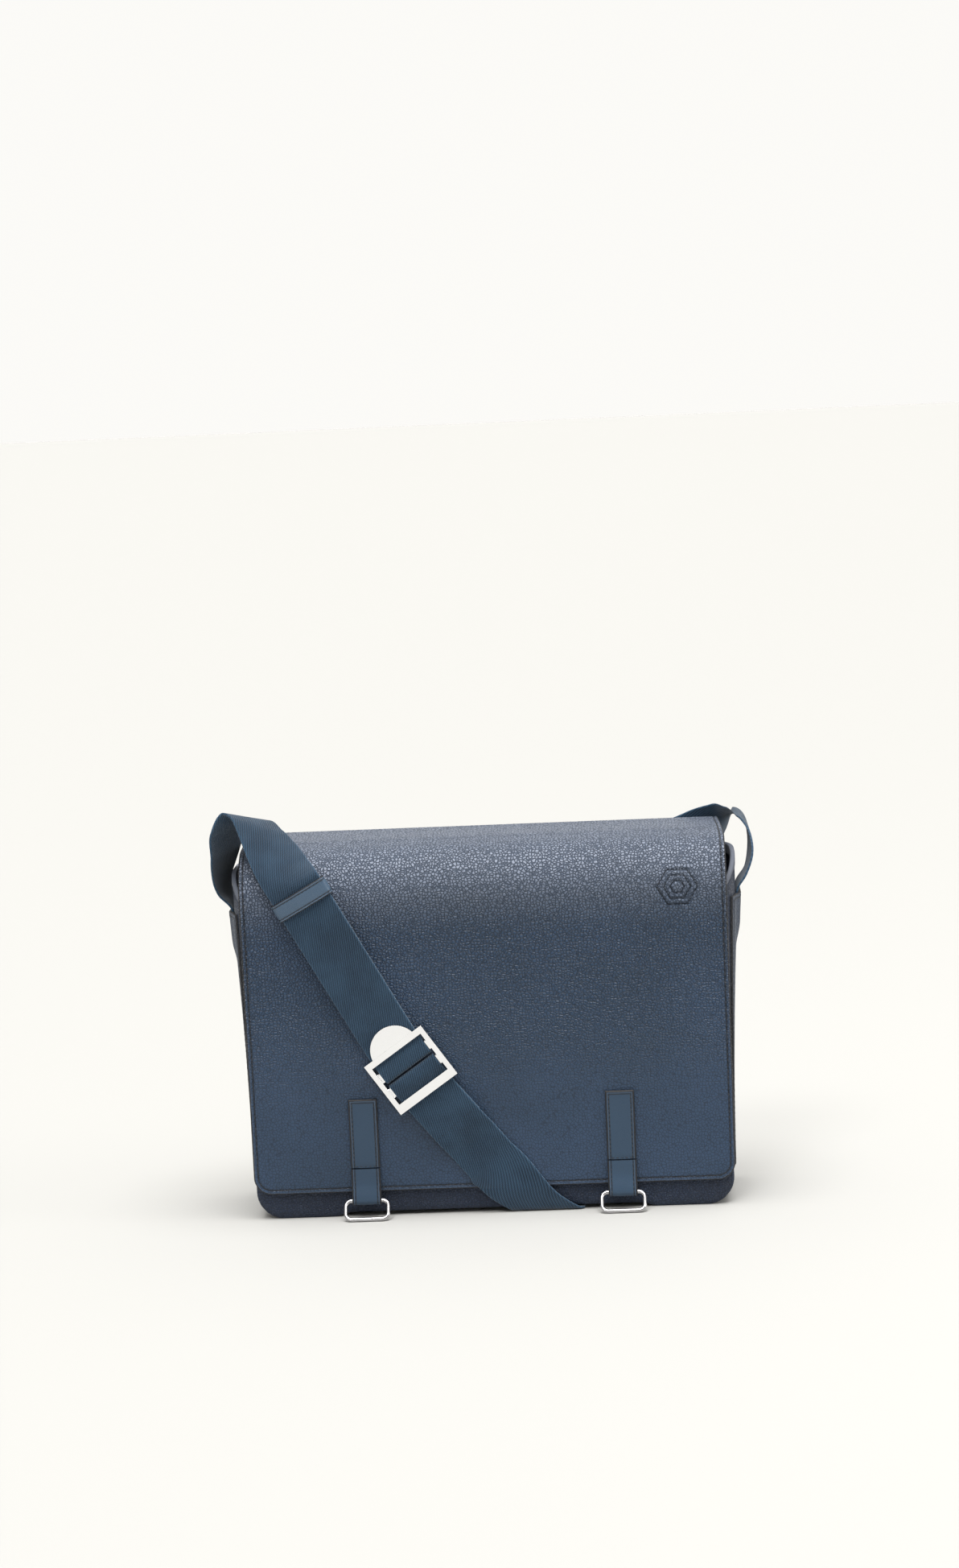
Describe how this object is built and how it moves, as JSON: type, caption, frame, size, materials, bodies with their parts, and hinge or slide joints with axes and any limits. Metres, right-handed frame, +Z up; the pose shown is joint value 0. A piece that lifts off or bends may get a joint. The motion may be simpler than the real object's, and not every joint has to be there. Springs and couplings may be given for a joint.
{
  "type": "messenger bag",
  "caption": "Leather messenger bag with a full front flap, two closure tabs with rings and a webbing strap wrapped round it.",
  "frame": {"origin": "on the surface that the bag stands on, in the middle of the bag's overall width and depth", "axes": "+Z up, the flap's front faces -Y, +X is to the right of someone who looks at the front"},
  "size_m": [0.3923, 0.1339, 0.2989],
  "materials": {
    "grained_leather": "pebbled grain, soft sheen",
    "smooth_leather": "smooth, satin",
    "lining_cloth": "plain weave",
    "webbing": "twill webbing",
    "polished_steel": "polished",
    "magnet_steel": "satin",
    "board": "stiff board"
  },
  "bodies": {
    "bag": {"front_panel": "grained_leather", "back_panel": "grained_leather", "gusset_left": "grained_leather", "gusset_right": "grained_leather", "base_panel": "grained_leather", "flap_back_strip": "grained_leather", "gusset_patch_left": "grained_leather", "gusset_patch_right": "grained_leather", "mouth_facing": "grained_leather", "front_binding": "smooth_leather", "gusset_binding_left": "smooth_leather", "gusset_binding_right": "smooth_leather", "lining": "lining_cloth", "inner_pocket": "lining_cloth", "strap_long": "webbing", "body_magnets": "magnet_steel", "base_board": "board"},
    "flap": {"flap_shell": "grained_leather", "flap_lining": "lining_cloth", "flap_magnets": "magnet_steel", "tab_left": "smooth_leather", "tab_right": "smooth_leather", "strap_short": "webbing"},
    "keeper": {"strap_keeper": "smooth_leather"},
    "buckle": {"buckle_frame": "polished_steel", "buckle_slide_bar": "polished_steel", "buckle_loop_bar": "polished_steel"},
    "loop_left": {"tab_loop_left": "smooth_leather"},
    "loop_right": {"tab_loop_right": "smooth_leather"},
    "hoop_left": {"ring_left": "polished_steel"},
    "hoop_right": {"ring_right": "polished_steel"}
  },
  "joints": [
    {"name": "flap_lift", "type": "hinge", "parent": "bag", "child": "flap", "pos_m": [0, 0.0446, 0.2709], "axis": [-1, 0, 0], "range_deg": [0, 80], "deforming": ["strap_short", "strap_long"]},
    {"name": "keeper_slide", "type": "slide", "parent": "flap", "child": "keeper", "axis": [0.4838, 0, -0.8752], "range_m": [0, 0.055], "deforming": ["strap_short"]},
    {"name": "buckle_lift", "type": "hinge", "parent": "flap", "child": "buckle", "pos_m": [-0.05331, -0.05685, 0.1048], "axis": [0.8221, 0, 0.5693], "range_deg": [0, 9], "deforming": ["strap_short", "strap_long"]},
    {"name": "tab_flex_left", "type": "hinge", "parent": "flap", "child": "loop_left", "pos_m": [-0.093, -0.05415, 0.037], "axis": [-1, 0, 0], "range_deg": [0, 35]},
    {"name": "ring_swing_left", "type": "hinge", "parent": "loop_left", "child": "hoop_left", "pos_m": [-0.093, -0.0564, 0.0135], "axis": [-1, 0, 0], "range_deg": [-35, 70]},
    {"name": "tab_flex_right", "type": "hinge", "parent": "flap", "child": "loop_right", "pos_m": [0.093, -0.05415, 0.037], "axis": [-1, 0, 0], "range_deg": [0, 35]},
    {"name": "ring_swing_right", "type": "hinge", "parent": "loop_right", "child": "hoop_right", "pos_m": [0.093, -0.0564, 0.0135], "axis": [-1, 0, 0], "range_deg": [-35, 70]}
  ]
}
